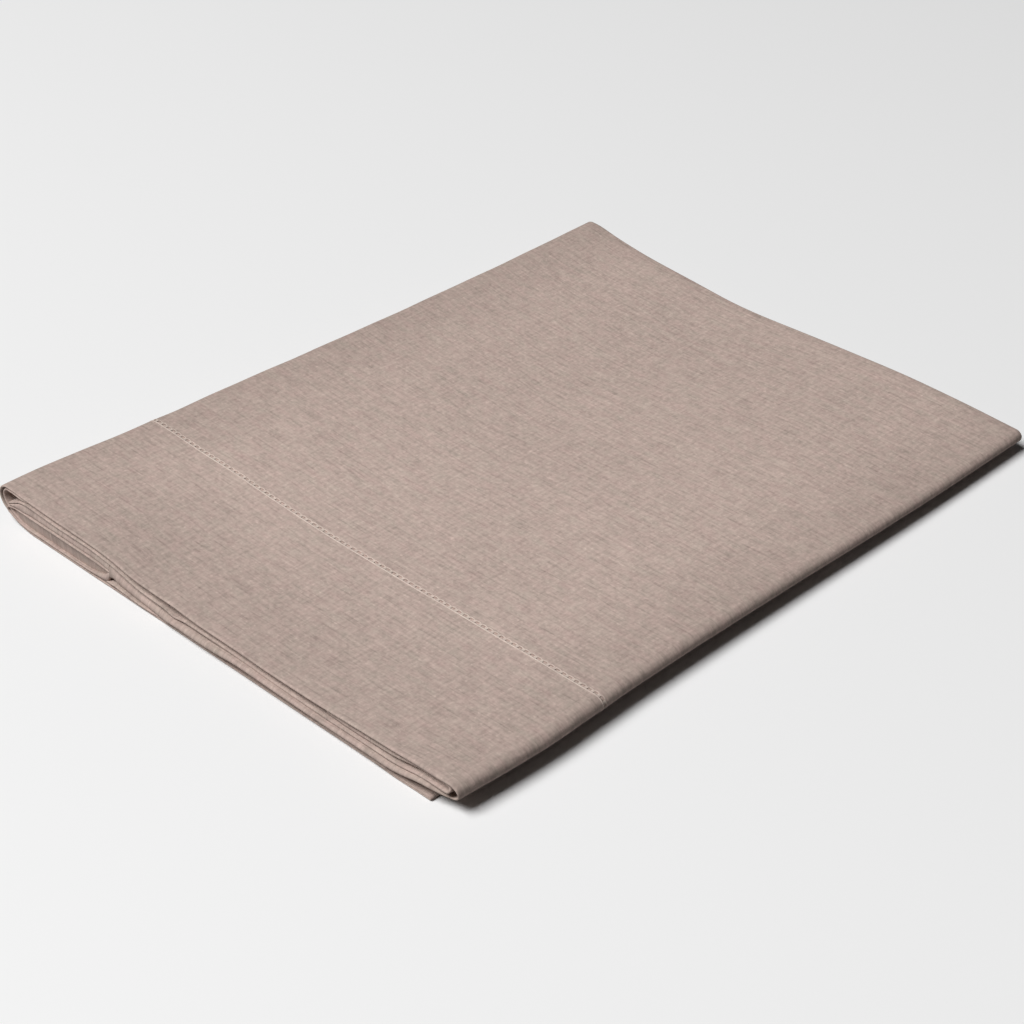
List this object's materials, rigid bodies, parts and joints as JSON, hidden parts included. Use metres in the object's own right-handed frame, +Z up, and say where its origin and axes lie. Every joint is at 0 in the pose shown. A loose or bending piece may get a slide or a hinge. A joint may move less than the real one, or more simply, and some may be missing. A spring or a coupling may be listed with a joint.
{
  "type": "folded tablecloth",
  "caption": "Plain linen tablecloth with a hemstitched edge, folded in half and then in thirds like a letter, lying flat.",
  "frame": {"origin": "middle of the folded cloth's outline in plan, on the surface that it lies on", "axes": "+X across the folded width, from the left fold that holds the tucked-in third to the right fold; +Y from the open hemmed edges to the half fold at the far edge; +Z up"},
  "size_m": [0.2968, 0.3792, 0.0174],
  "materials": {
    "linen": "plain weave of slubby natural linen, dyed warm grey-brown, matt"
  },
  "bodies": {
    "root": {"folded_cloth": "linen"}
  },
  "joints": []
}
